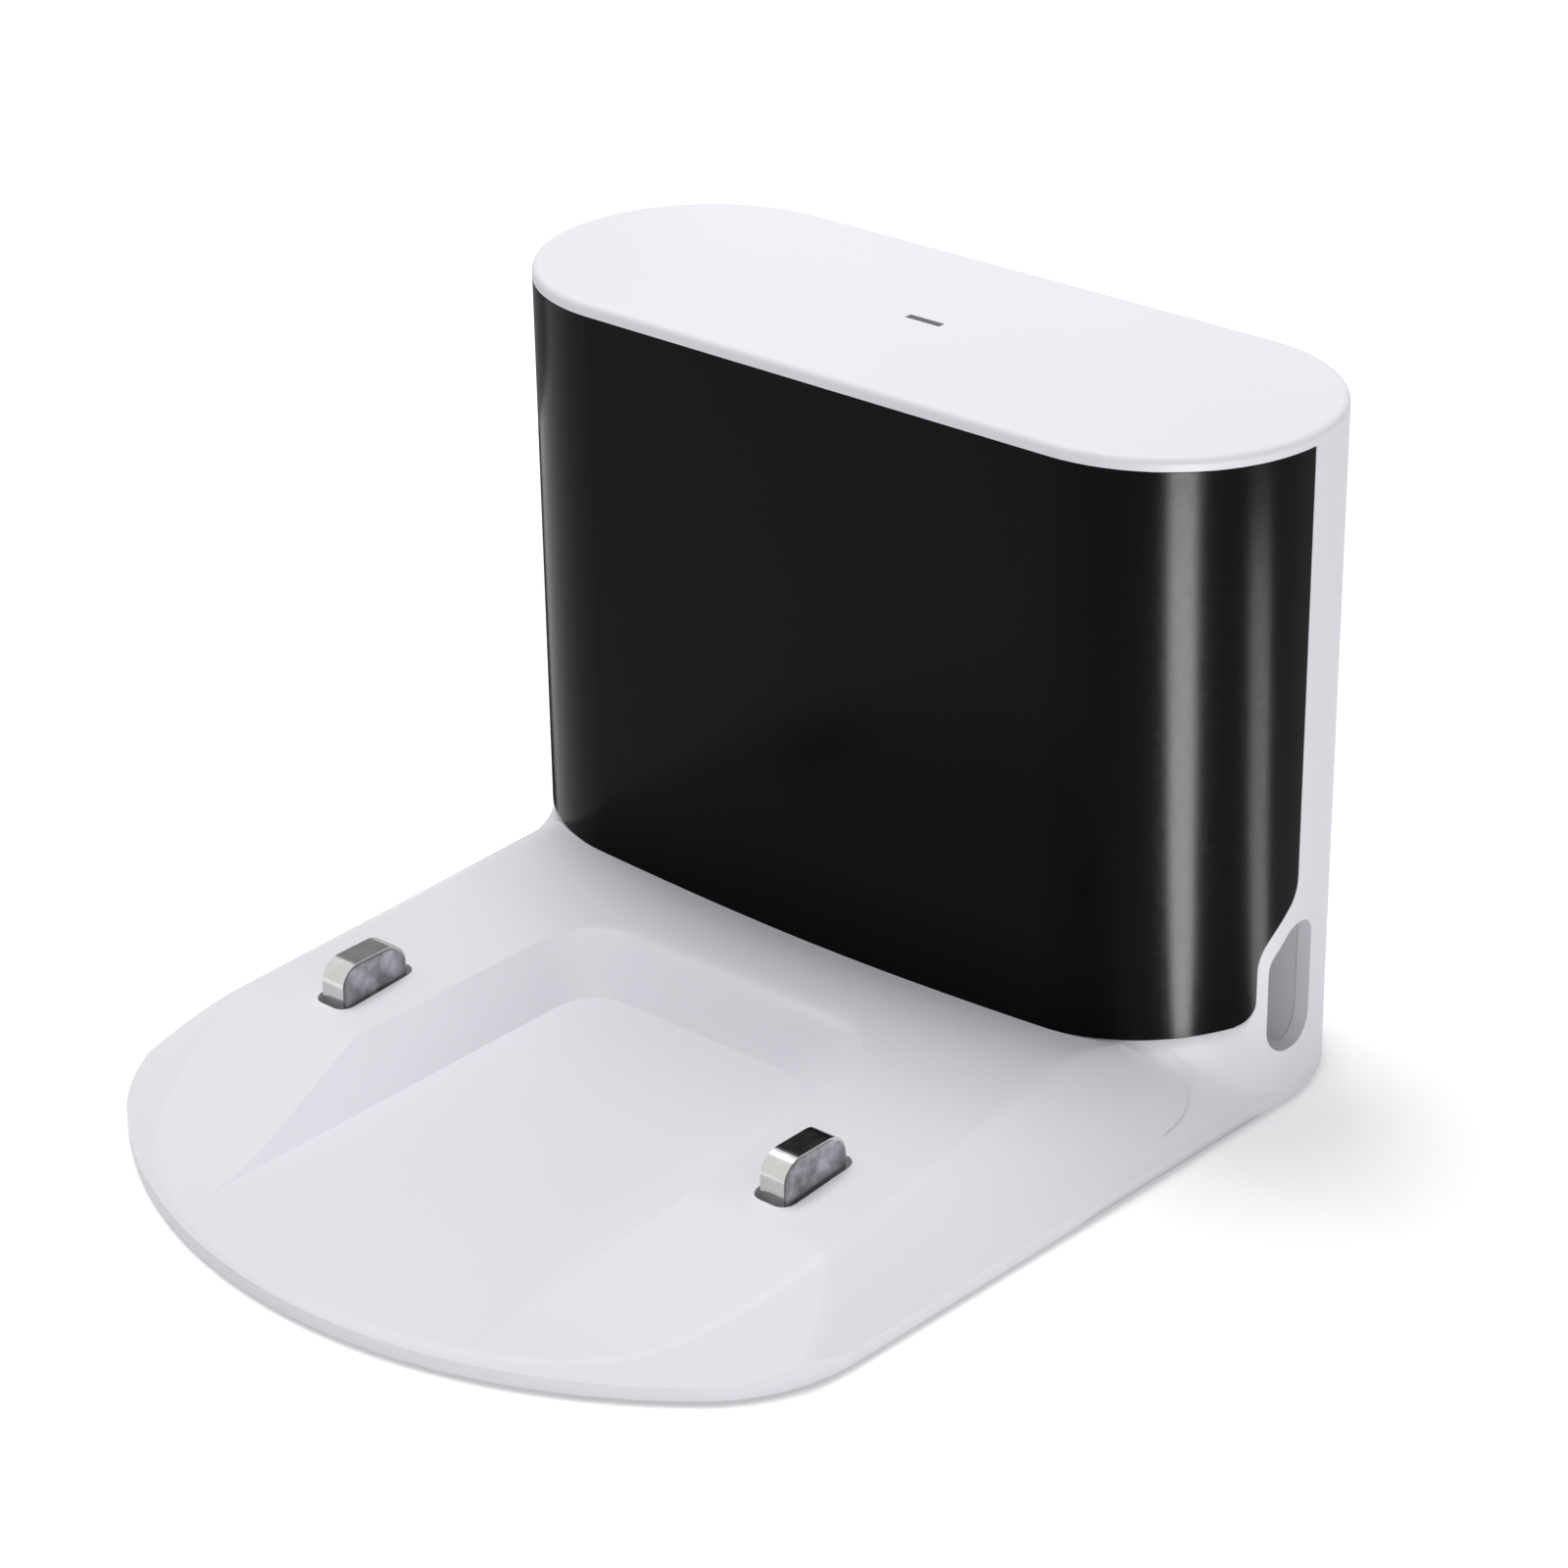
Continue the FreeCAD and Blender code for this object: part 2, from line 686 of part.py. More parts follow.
def screw(name, x, y, z, reach, towards):
    """Round-headed screw; the head starts at the given point and the shank runs on the same way."""
    head = cylinder(name + "_head", dim.screw_head_radius, dim.screw_head_height, x, y, z, towards)
    shank = cylinder(name + "_shank", dim.screw_radius, dim.screw_head_height + reach, x, y, z, towards)
    return fuse(name, head, shank)


# Housing

def cavity_form(name, gap):
    """Room inside the tower, moved in by a gap; the rear half has thinner walls, as it holds no window."""
    floor = BASE + dim.tower_floor
    narrow = stadium(name + "_front", dim.window_thickness + dim.window_backing + gap, floor, INNER_TOP)
    wide = stadium(name + "_wide", dim.wall + gap, floor, INNER_TOP)
    rear_half = box(name + "_rear_half", (dim.width, dim.tower_depth, TOP), 0, TOWER_Y + gap, 0)
    return fuse(name, narrow, common(name + "_rear", wide, rear_half))


def deck_cavity():
    """Low room under the deck, open downwards to the bottom cover."""
    start = dim.cavity_start
    end_y = TOWER_Y + dim.cover_rear - dim.cover_ledge
    tower_start = INNER_FRONT - FRONT
    return prism("deck_cavity", "YZ", [
        (FRONT + start, -REACH),
        (end_y, -REACH),
        (end_y, BASE + dim.tower_floor + REACH),
        (INNER_FRONT, floor_height(tower_start) - dim.deck_wall),
        (FRONT + start, floor_height(start) - dim.deck_wall),
    ], (COVER_HALF - dim.cover_ledge) * 2)


def housing_outer():
    plan = deck_plan()
    sharp = common("deck_whole", plan, deck_profile(), deck_flanks(), deck_bevel())
    soft = rounded("deck_soft", sharp, dim.crest_round, on_crest)
    deck = cut("deck_form", soft, recess_form(), dip_form())
    coves = [end_cove(side, sign, plan) for side, sign in SIDES]
    return fuse("housing_outer", tower_form(), deck, *coves)


def housing_openings():
    gap = dim.fit_gap
    openings = [window_form("window_seat", gap), cavity_form("tower_cavity", NONE), deck_cavity()]
    openings.append(cover_form("cover_opening", gap, COVER_TOP + gap))
    tray_height = dim.tray_top - dim.tray_bottom + 2 * gap
    openings.append(box("tray_opening", (2 * (TRAY_HALF + gap), dim.tower_depth / 2, tray_height), 0,
                        TOWER_Y + REACH, BASE + dim.tray_bottom - gap))
    openings.append(box("light_slot", (dim.light_length, dim.light_width, dim.lid_thickness + 2 * REACH), 0,
                        TOWER_Y - dim.light_width / 2, INNER_TOP - REACH))
    openings.append(outlet_form("outlet_through", dim.width + 2 * REACH))
    for side, sign in SIDES:
        x = sign * CONTACT_X
        slot = box(f"contact_slot_{side}_sharp", (dim.slot_width, dim.slot_length, TOP), x,
                   CONTACT_Y - dim.slot_length / 2, POCKET_TOP - REACH)
        openings.append(rounded(f"contact_slot_{side}", slot, dim.slot_corner, is_upright))
        pocket = (HOLDER_WIDTH + 2 * gap, HOLDER_LENGTH + 2 * gap, POCKET_TOP)
        openings.append(box(f"contact_pocket_{side}", pocket, x, CONTACT_Y - HOLDER_LENGTH / 2 - gap, 0))
    for side, sign in EMITTERS:
        openings.append(cylinder(f"emitter_port_{side}", dim.emitter_radius + dim.port_gap,
                                 dim.window_backing + 2 * gap, sign * dim.emitter_spacing,
                                 INNER_FRONT - dim.window_backing - gap, EMITTER_Z, "back"))
    for place, x, y in FEET:
        openings.append(cylinder(f"foot_seat_{place}", dim.foot_radius + gap, dim.foot_sunk, x, y, BASE))
    return openings


def housing():
    outer = housing_outer()
    shell = cut("housing_shell", outer, *housing_openings())
    bosses = []
    bores = []
    bore = dim.screw_radius + dim.fit_gap
    for number, (x, y) in enumerate(COVER_SCREWS):
        bosses.append(cylinder(f"cover_boss_{number}", dim.boss_radius, dim.screw_reach + dim.boss_root, x, y,
                               COVER_TOP + dim.fit_gap))
        bores.append(cylinder(f"cover_bore_{number}", bore, dim.screw_reach, x, y, COVER_TOP))
    for number, (x, z) in enumerate(POWER_BOARD_SCREWS):
        length = dim.power_board_standoff
        bosses.append(cylinder(f"power_boss_{number}", dim.boss_radius, length + dim.boss_root, x,
                               POWER_BOARD_BACK, z, "back"))
        bores.append(cylinder(f"power_bore_{number}", bore, length, x, POWER_BOARD_BACK, z, "back"))
    for number, (x, z) in enumerate(EMITTER_BOARD_SCREWS):
        length = dim.emitter_board_standoff
        bosses.append(cylinder(f"emitter_boss_{number}", dim.boss_radius, length + dim.window_backing / 2, x,
                               EMITTER_BOARD_FACE, z, "front"))
        bores.append(cylinder(f"emitter_bore_{number}", bore, length, x, EMITTER_BOARD_FACE, z, "front"))
    for side, sign in SIDES:
        x = sign * dim.status_post_spacing / 2
        bosses.append(cylinder(f"status_post_{side}", dim.status_post_radius * 2,
                               dim.status_board_drop + dim.boss_root, x, TOWER_Y, STATUS_BOARD_TOP))
        bosses.append(cylinder(f"status_pin_{side}", dim.status_post_radius, dim.board_thickness * 2, x,
                               TOWER_Y, STATUS_BOARD_TOP - dim.board_thickness * 3 / 2))
    inner_bosses = common("housing_bosses", fuse("boss_set", *bosses), outer)
    return cut("housing", fuse("housing_bossed", shell, inner_bosses), *bores)


# Cable tray, its ducts and the mains inlet

def cable_tray():
    height = dim.tray_top - dim.tray_bottom
    wall = dim.tray_wall
    bottom = BASE + dim.tray_bottom
    tub = box("tray_tub", (TRAY_HALF * 2, dim.tray_reach, height), 0, TRAY_FRONT, bottom)
    inside = box("tray_inside", (2 * (TRAY_HALF - wall), dim.tray_reach, height - 2 * wall), 0,
                 TRAY_FRONT + wall, bottom + wall)
    through = outlet_form("tray_outlet", dim.width)
    inlet_width = dim.inlet_body_width + 2 * dim.fit_gap
    hole = box("tray_inlet_hole", (dim.inlet_body_length + 2 * dim.fit_gap, inlet_width, wall + 2 * REACH),
               dim.inlet_x, INLET_Y - inlet_width / 2, TRAY_ROOF - REACH)
    return cut("cable_tray", tub, inside, through, hole)


def outlet_duct(side, sign):
    """Square duct that leads the cord from the tray's side to the wall round an outlet."""
    wall = dim.tray_wall
    length = dim.width / 2 - TRAY_HALF
    width = dim.outlet_front + dim.outlet_rear + 2 * wall
    height = dim.outlet_top - dim.outlet_bottom + 2 * wall
    outside = box(f"duct_outside_{side}", (length, width, height), sign * (TRAY_HALF + length / 2),
                  TOWER_Y - dim.outlet_front - wall, BASE + dim.outlet_bottom - wall)
    fitted = common(f"duct_fitted_{side}", outside, cavity_form(f"duct_room_{side}", dim.fit_gap))
    return cut(f"outlet_duct_{side}", fitted, outlet_form(f"duct_inside_{side}", dim.width))


def inlet_socket():
    """Two-pole inlet that faces down into the tray, with a flange under the tray's roof."""
    x = dim.inlet_x
    length = dim.inlet_body_length
    width = dim.inlet_body_width
    rim = dim.inlet_flange
    body = box("inlet_body", (length, width, INLET_TOP - INLET_BOTTOM), x, INLET_Y - width / 2, INLET_BOTTOM)
    flange = box("inlet_rim", (length + 2 * rim, width + 2 * rim, dim.inlet_flange_height), x,
                 INLET_Y - width / 2 - rim, INLET_BOTTOM)
    depth = dim.inlet_cavity_depth
    radius = dim.inlet_cavity_width / 2
    reach = dim.inlet_cavity_length / 2 - radius
    hollow = [box("inlet_cavity_middle", (2 * reach, radius * 2, depth), x, INLET_Y - radius, INLET_BOTTOM)]
    for side, sign in SIDES:
        pin_x = x + sign * dim.pin_spacing / 2
        hollow.append(cylinder(f"inlet_cavity_{side}", radius, depth, x + sign * reach, INLET_Y,
                               INLET_BOTTOM))
        hollow.append(cylinder(f"inlet_pin_hole_{side}", dim.pin_radius, dim.inlet_body_height * 2, pin_x,
                               INLET_Y, INLET_BOTTOM))
    return cut("inlet_socket", fuse("inlet_whole", body, flange), *hollow)


def inlet_pin(side, sign):
    pin_bottom = INLET_BOTTOM + dim.inlet_cavity_depth - dim.pin_length
    return cylinder(f"inlet_pin_{side}", dim.pin_radius, PIN_TOP - pin_bottom,
                    dim.inlet_x + sign * dim.pin_spacing / 2, INLET_Y, pin_bottom)


def inlet_lead(side, sign):
    """Stiff lead from the top of an inlet pin to the power board."""
    start = INLET_Y + dim.pin_radius
    return cylinder(f"inlet_lead_{side}", dim.lead_radius, POWER_BOARD_FACE - start,
                    dim.inlet_x + sign * dim.pin_spacing / 2, start, PIN_TOP - dim.lead_radius * 2, "back")


# Charging contacts

def contact_hump(name, grow, bottom, width, x):
    """Round-shouldered hump that stands up through the slot, grown outwards by grow."""
    length = dim.contact_length + 2 * grow
    top = plateau_height(dim.contact_back) + dim.contact_rise + grow
    plain = box(name + "_plain", (width, length, top - bottom), x, CONTACT_Y - length / 2, bottom)

    def shoulder(edge):
        return edge.BoundBox.XLength > dim.strip_thickness.number and edge.BoundBox.ZMin > top.number - TOUCH
    return rounded(name, plain, dim.contact_shoulder + grow, shoulder)


def contact_block(side, sign):
    """Clear carrier of a contact strip, with a flange that stops under the deck."""
    x = sign * CONTACT_X
    hump = contact_hump(f"block_hump_{side}", NONE, FLANGE_BOTTOM, dim.block_width, x)
    flange = box(f"block_flange_{side}", (dim.flange_width, dim.flange_length, dim.flange_height), x,
                 CONTACT_Y - dim.flange_length / 2, FLANGE_BOTTOM)
    return fuse(f"contact_block_{side}", hump, flange)


def contact_strip(side, sign):
    """Bent metal strip over the block, with two small feet on the block's flange."""
    x = sign * CONTACT_X
    outside = contact_hump(f"strip_outside_{side}", dim.strip_thickness, FLANGE_TOP, dim.strip_width, x)
    inside = contact_hump(f"strip_inside_{side}", NONE, BASE, dim.block_width, x)
    length = dim.contact_length + 2 * (dim.strip_thickness + dim.strip_foot)
    feet = box(f"strip_feet_{side}", (dim.strip_width, length, dim.strip_thickness), x,
               CONTACT_Y - length / 2, FLANGE_TOP)
    return cut(f"contact_strip_{side}", fuse(f"strip_whole_{side}", outside, feet), inside)


def contact_holder(side, sign):
    """Open box under the deck that guides the block's flange and carries the spring."""
    x = sign * CONTACT_X
    bottom = COVER_TOP + dim.fit_gap
    height = POCKET_TOP - dim.fit_gap - bottom
    outside = box(f"holder_outside_{side}", (HOLDER_WIDTH, HOLDER_LENGTH, height), x,
                  CONTACT_Y - HOLDER_LENGTH / 2, bottom)
    width = dim.flange_width + 2 * dim.holder_gap
    length = dim.flange_length + 2 * dim.holder_gap
    inside = box(f"holder_inside_{side}", (width, length, POCKET_TOP), x, CONTACT_Y - length / 2,
                 HOLDER_FLOOR)
    tail_width = dim.terminal_tail_width + 2 * dim.fit_gap
    tail_height = dim.strip_thickness + dim.fit_gap
    tail = box(f"holder_tail_slot_{side}", (tail_width, dim.holder_wall * 3, tail_height), x,
               CONTACT_Y + length / 2 - dim.holder_wall, HOLDER_FLOOR)
    return cut(f"contact_holder_{side}", outside, inside, tail)


def contact_terminal(side, sign):
    """Plate on the holder's floor that the spring stands on, with a tail for the lead."""
    x = sign * CONTACT_X
    length = dim.flange_length - dim.terminal_width / 2
    plate = box(f"terminal_plate_{side}", (dim.terminal_width, length, dim.strip_thickness), x,
                CONTACT_Y - length / 2, HOLDER_FLOOR)
    tail_length = HOLDER_LENGTH / 2 + dim.terminal_tail
    tail = box(f"terminal_tail_{side}", (dim.terminal_tail_width, tail_length, dim.strip_thickness), x,
               CONTACT_Y, HOLDER_FLOOR)
    return fuse(f"contact_terminal_{side}", plate, tail)


def contact_spring(side, sign):
    """Short coil spring between the terminal and the block's flange."""
    x = sign * CONTACT_X
    start = TERMINAL_TOP + dim.spring_wire / 2
    height = FLANGE_BOTTOM - TERMINAL_TOP - dim.spring_wire
    coil = document.addObject("Part::Helix", f"spring_path_{side}")
    bind(coil, Radius=dim.spring_radius, Height=height, Pitch=height / dim.spring_turns, x=x, y=CONTACT_Y,
         z=start)
    wire = turned("Part::Circle", f"spring_section_{side}", "back")
    bind(wire, Radius=dim.spring_wire / 2, x=x + dim.spring_radius, y=CONTACT_Y, z=start)
    spring = document.addObject("Part::Sweep", f"contact_spring_{side}")
    spring.Spine = (coil, [])
    spring.Sections = [wire]
    spring.Solid = True
    spring.Frenet = True
    return spring


def contact_lead(side, sign):
    """Lead from a contact's terminal, back under the deck, up in front of the tray and over it."""
    x = sign * CONTACT_X
    low = HOLDER_FLOOR - dim.lead_radius
    start = CONTACT_Y + HOLDER_LENGTH / 2 + dim.holder_gap
    rise_y = TRAY_FRONT - dim.lead_rise_gap
    high = TRAY_TOP + dim.lead_over_tray
    route = [(start, low), (rise_y, low), (rise_y, high), (POWER_BOARD_FACE, high)]
    path = document.addObject("Part::Feature", f"lead_path_{side}")
    path.Shape = Part.makePolygon([FreeCAD.Vector(x.number, y.number, z.number) for y, z in route])
    section = turned("Part::Circle", f"lead_section_{side}", "back")
    bind(section, Radius=dim.lead_radius, x=x, y=start, z=low)
    lead = document.addObject("Part::Sweep", f"contact_lead_{side}")
    lead.Spine = (path, [])
    lead.Sections = [section]
    lead.Solid = True
    lead.Transition = "Round corner"
    return lead


# Circuit boards and what they carry

def drilled_board(name, plate, holes, face):
    radius = dim.screw_radius + dim.fit_gap
    bores = [cylinder(f"{name}_hole_{number}", radius, dim.board_thickness, x, face, z, "back")
             for number, (x, z) in enumerate(holes)]
    return cut(name, plate, *bores)


def power_board():
    plate = box("power_board_plate", (POWER_BOARD_HALF * 2, dim.board_thickness, dim.power_board_height), 0,
                POWER_BOARD_FACE, POWER_BOARD_BOTTOM)
    return drilled_board("power_board", plate, POWER_BOARD_SCREWS, POWER_BOARD_FACE)


def emitter_board():
    height = dim.emitter_board_top - dim.emitter_board_bottom
    width = dim.emitter_board_half_width * 2
    plate = box("emitter_board_plate", (width, dim.board_thickness, height), 0, EMITTER_BOARD_FACE,
                BASE + dim.emitter_board_bottom)
    return drilled_board("emitter_board", plate, EMITTER_BOARD_SCREWS, EMITTER_BOARD_FACE)


def emitter(side, sign):
    """Infrared emitter with a round nose, pointing forwards through a port."""
    x = sign * dim.emitter_spacing
    face = EMITTER_BOARD_FACE
    straight = dim.emitter_length - dim.emitter_radius
    base = cylinder(f"emitter_base_{side}", dim.emitter_base_radius, dim.emitter_base_height, x, face,
                    EMITTER_Z, "front")
    stem = cylinder(f"emitter_stem_{side}", dim.emitter_radius, straight, x, face, EMITTER_Z, "front")
    nose = document.addObject("Part::Sphere", f"emitter_nose_{side}")
    bind(nose, Radius=dim.emitter_radius, x=x, y=face - straight, z=EMITTER_Z)
    return fuse(f"emitter_{side}", base, stem, nose)


def power_part(name, radius, length, x, z):
    """Round part that stands on the power board, towards the front."""
    return cylinder(name, radius, length, x, POWER_BOARD_FACE, z, "front")


def transformer():
    return box("transformer", (dim.transformer_width, dim.transformer_depth, dim.transformer_height),
               TRANSFORMER_X, POWER_BOARD_FACE - dim.transformer_depth, PART_Z - dim.transformer_height / 2)


def filter_choke():
    ring = power_part("choke_ring", dim.choke_radius, dim.choke_length, CHOKE_X, PART_Z)
    bore = power_part("choke_hole", dim.choke_bore, dim.choke_length, CHOKE_X, PART_Z)
    return cut("filter_choke", ring, bore)


def capacitors_and_fuse():
    output_z = TRAY_TOP + dim.output_capacitor_gap + dim.output_capacitor_radius
    fuse_z = TRAY_TOP + dim.fuse_gap + dim.fuse_radius
    return [
        power_part("bulk_capacitor", dim.bulk_capacitor_radius, dim.bulk_capacitor_length, BULK_X, PART_Z),
        power_part("output_capacitor", dim.output_capacitor_radius, dim.output_capacitor_length,
                   dim.output_capacitor_x, output_z),
        power_part("fuse", dim.fuse_radius, dim.fuse_length, dim.fuse_x, fuse_z),
    ]


def status_board():
    length = dim.status_board_length
    width = dim.status_board_width
    thickness = dim.board_thickness
    plate = box("status_board_plate", (length, width, thickness), 0, TOWER_Y - width / 2, STATUS_BOARD_BOTTOM)
    holes = [cylinder(f"status_hole_{side}", dim.status_post_radius + dim.fit_gap, thickness,
                      sign * dim.status_post_spacing / 2, TOWER_Y, STATUS_BOARD_BOTTOM)
             for side, sign in SIDES]
    return cut("status_board", plate, *holes)


def emitter_cable():
    """Flat cable from the emitter board back to the power board."""
    return box("emitter_cable", (dim.cable_width, POWER_BOARD_FACE - EMITTER_BOARD_BACK, dim.cable_thickness),
               dim.emitter_cable_x, EMITTER_BOARD_BACK, POWER_BOARD_BOTTOM + dim.cable_lap)


def status_cable():
    """Flat cable under the status board, back and down to the face of the power board."""
    thickness = dim.cable_thickness
    bottom = POWER_BOARD_TOP - dim.cable_lap
    flat = box("status_cable_flat", (dim.cable_width, POWER_BOARD_FACE - TOWER_Y, thickness), 0, TOWER_Y,
               STATUS_BOARD_BOTTOM - thickness)
    drop = box("status_cable_drop", (dim.cable_width, thickness, STATUS_BOARD_BOTTOM - bottom), 0,
               POWER_BOARD_FACE - thickness, bottom)
    return fuse("status_cable", flat, drop)


def status_led():
    size = dim.status_led_size
    return box("status_led", (size, size, dim.status_led_height), 0, TOWER_Y - size / 2, STATUS_BOARD_TOP)


def light_pipe():
    """Clear bar that fills the slot in the lid, with a flange under the lid."""
    width = dim.light_width - dim.fit_gap
    bar = box("light_bar", (dim.light_length - dim.fit_gap, width, dim.lid_thickness), 0, TOWER_Y - width / 2,
              INNER_TOP)
    flange_length = dim.light_length + 2 * dim.pipe_flange
    flange_width = dim.light_width + 2 * dim.pipe_flange
    flange = box("light_flange", (flange_length, flange_width, dim.pipe_flange_height), 0,
                 TOWER_Y - flange_width / 2, INNER_TOP - dim.pipe_flange_height)
    return fuse("light_pipe", bar, flange)


def screw_sets():
    """The three sets of equal screws: bottom cover, power board and emitter board."""
    cover = [screw(f"cover_screw_{number}", x, y, BASE, dim.screw_reach, "up")
             for number, (x, y) in enumerate(COVER_SCREWS)]
    power = [screw(f"power_screw_{number}", x, POWER_BOARD_FACE - dim.screw_head_height, z,
                   dim.board_thickness + dim.board_screw_reach, "back")
             for number, (x, z) in enumerate(POWER_BOARD_SCREWS)]
    emitters = [screw(f"emitter_screw_{number}", x, EMITTER_BOARD_BACK + dim.screw_head_height, z,
                      dim.board_thickness + dim.emitter_screw_reach, "front")
                for number, (x, z) in enumerate(EMITTER_BOARD_SCREWS)]
    return [fuse("cover_screws", *cover), fuse("power_board_screws", *power),
            fuse("emitter_board_screws", *emitters)]


# The dock, piece by piece

nodes = [housing(), window_form("front_window", NONE), bottom_cover(), cable_tray(), inlet_socket()]
nodes += [power_board(), transformer(), filter_choke(), *capacitors_and_fuse()]
nodes += [emitter_board(), emitter_cable(), status_board(), status_led(), status_cable(), light_pipe()]
nodes += [emitter(side, sign) for side, sign in EMITTERS]
for side, sign in SIDES:
    nodes += [outlet_duct(side, sign), inlet_pin(side, sign), inlet_lead(side, sign)]
    nodes += [contact_strip(side, sign), contact_block(side, sign), contact_spring(side, sign)]
    nodes += [contact_holder(side, sign), contact_terminal(side, sign), contact_lead(side, sign)]
for place, x, y in FEET:
    nodes.append(cylinder(f"foot_{place}", dim.foot_radius, dim.foot_drop + dim.foot_sunk, x, y, 0))
nodes += screw_sets()

document.recompute()

# Check and write

for item in document.Objects:
    if "Invalid" in item.State or "Error" in item.State:
        raise RuntimeError(f"{item.Name} did not build: {item.State}")
for node in nodes:
    if node.Shape.isNull() or not node.Shape.isValid() or not node.Shape.Solids:
        raise RuntimeError(f"{node.Label} has no valid solid")
os.makedirs("parts", exist_ok=True)
for node in nodes:
    node.Shape.exportStep(f"parts/{node.Label}.step")
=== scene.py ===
import json
import math

import bmesh
import bpy
from mathutils import Matrix, Vector


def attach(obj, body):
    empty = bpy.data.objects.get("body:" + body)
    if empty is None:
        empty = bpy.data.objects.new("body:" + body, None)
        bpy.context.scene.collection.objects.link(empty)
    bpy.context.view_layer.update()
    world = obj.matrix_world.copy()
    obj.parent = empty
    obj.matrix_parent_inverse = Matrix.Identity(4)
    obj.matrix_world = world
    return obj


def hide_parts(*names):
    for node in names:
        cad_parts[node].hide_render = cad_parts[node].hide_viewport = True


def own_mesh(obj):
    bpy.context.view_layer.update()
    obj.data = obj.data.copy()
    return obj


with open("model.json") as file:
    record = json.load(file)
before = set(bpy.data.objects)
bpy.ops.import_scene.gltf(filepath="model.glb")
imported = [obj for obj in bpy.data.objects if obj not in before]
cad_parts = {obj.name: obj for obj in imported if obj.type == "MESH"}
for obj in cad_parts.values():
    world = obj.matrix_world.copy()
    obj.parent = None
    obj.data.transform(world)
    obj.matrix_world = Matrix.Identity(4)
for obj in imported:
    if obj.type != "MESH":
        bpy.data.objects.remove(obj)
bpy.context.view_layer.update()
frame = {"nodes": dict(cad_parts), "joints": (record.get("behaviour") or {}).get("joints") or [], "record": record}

MM = 0.001


def add_object(name, shape):
    """Linked object with the mesh of a bmesh, which is used up."""
    mesh = bpy.data.meshes.new(name)
    shape.to_mesh(mesh)
    shape.free()
    item = bpy.data.objects.new(name, mesh)
    bpy.context.scene.collection.objects.link(item)
    return item


# Finishes

# How far the tower's foot is rounded, and where that fades in from the front, the rear and the top
FOOT_SOFTNESS = 5 * MM
FOOT_FRONT = (5 * MM, 14 * MM)
FOOT_REAR = (45 * MM, 41 * MM)
FOOT_TOP = (17 * MM, 15 * MM)
FOOT_SAMPLES = 8

# Patterns: cells per metre, and the shares of a roughness that they wander between
DRIFT_SCALE = 26.0
FINE_DETAIL = 2.0
ROUGHNESS_DRIFT = 0.05
METAL_ROUGHNESS = (0.7, 1.4)
# Clear mouldings: pale and dark blotches at random, painted highlights and painted shade, with their scale, edges
# and the share of the tint in the dark ones
CLOUD_SCALE = 340.0
CLOUD_EDGES = (0.35, 0.65)
CLEAR_PAINTED_SHADE = 0.35
CLEAR_ROUGHNESS = (0.6, 1.6)
ACRYLIC_IOR = 1.49


def new_finish(name):
    """Empty node material with its shader, and the object coordinates that its pattern follows."""
    finish = bpy.data.materials.new(name)
    finish.use_nodes = True
    nodes = finish.node_tree.nodes
    shader = nodes["Principled BSDF"]
    place = nodes.new("ShaderNodeTexCoord")
    return finish, nodes, finish.node_tree.links, shader, place.outputs["Object"]


def add_noise(nodes, links, place, scale, detail=3.0):
    noise = nodes.new("ShaderNodeTexNoise")
    noise.inputs["Scale"].default_value = scale
    noise.inputs["Detail"].default_value = detail
    links.new(place, noise.inputs["Vector"])
    return noise.outputs["Fac"]


def add_spread(nodes, links, source, low, high):
    """Number that wanders between low and high with a pattern."""
    spread = nodes.new("ShaderNodeMapRange")
    spread.inputs["To Min"].default_value = low
    spread.inputs["To Max"].default_value = high
    links.new(source, spread.inputs["Value"])
    return spread.outputs["Result"]


def add_tint(nodes, links, source, first, second):
    """Colour that wanders between two tints with a pattern."""
    tint = nodes.new("ShaderNodeMix")
    tint.data_type = "RGBA"
    tint.inputs["A"].default_value = (*first, 1.0)
    tint.inputs["B"].default_value = (*second, 1.0)
    links.new(source, tint.inputs["Factor"])
    return tint.outputs["Result"]


def add_grain(nodes, links, shader, source, height, strength):
    bump = nodes.new("ShaderNodeBump")
    bump.inputs["Distance"].default_value = height
    bump.inputs["Strength"].default_value = strength
    links.new(source, bump.inputs["Height"])
    links.new(bump.outputs["Normal"], shader.inputs["Normal"])
    return bump


def add_band(nodes, links, source, start, end, full=1.0):
    """Number that goes from 0 at start to full at end."""
    band = nodes.new("ShaderNodeMapRange")
    band.inputs["From Min"].default_value = start
    band.inputs["From Max"].default_value = end
    band.inputs["To Max"].default_value = full
    links.new(source, band.inputs["Value"])
    return band.outputs["Result"]


def soften_foot(nodes, links, place, bump):
    """Round off, in shading, the creases where the deck meets the foot of the tower."""
    axes = nodes.new("ShaderNodeSeparateXYZ")
    links.new(place, axes.inputs["Vector"])
    radius = add_band(nodes, links, axes.outputs["Y"], *FOOT_FRONT, FOOT_SOFTNESS)
    for axis, limits in (("Y", FOOT_REAR), ("Z", FOOT_TOP)):
        share = nodes.new("ShaderNodeMath")
        share.operation = "MULTIPLY"
        links.new(radius, share.inputs[0])
        links.new(add_band(nodes, links, axes.outputs[axis], *limits), share.inputs[1])
        radius = share.outputs["Value"]
    bevel = nodes.new("ShaderNodeBevel")
    bevel.samples = FOOT_SAMPLES
    links.new(radius, bevel.inputs["Radius"])
    links.new(bevel.outputs["Normal"], bump.inputs["Normal"])


